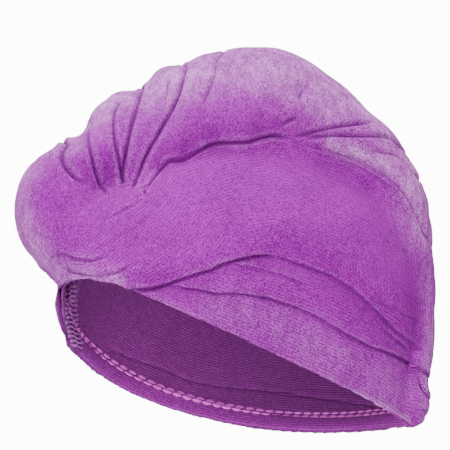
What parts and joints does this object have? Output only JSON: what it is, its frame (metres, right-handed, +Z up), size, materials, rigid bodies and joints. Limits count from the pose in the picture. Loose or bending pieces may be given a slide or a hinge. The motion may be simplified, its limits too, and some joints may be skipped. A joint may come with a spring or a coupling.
{
  "type": "hair turban towel",
  "caption": "Velour hair turban towel in its worn form: a hollow cap with side folds and a twisted tail turned over the brow, laid on the crown and held at the nape by an elastic loop.",
  "frame": {"origin": "highest point of the hollow inside, where the cap sits on the crown of a head", "axes": "+Z up, -Y towards the forehead, +X towards the wearer's left ear"},
  "size_m": [0.1777, 0.2273, 0.2191],
  "materials": {
    "velour": "soft cotton velour terry, purple, paler where the pile stands up",
    "hem_knit": "flat knit back of the same cloth, turned in and stitched",
    "elastic": "woven elastic cord band, matt"
  },
  "bodies": {
    "root": {"cap": "velour", "twisted_tail": "velour", "rim_hem": "hem_knit", "forehead_seam": "hem_knit", "nape_loop": "elastic"}
  },
  "joints": []
}
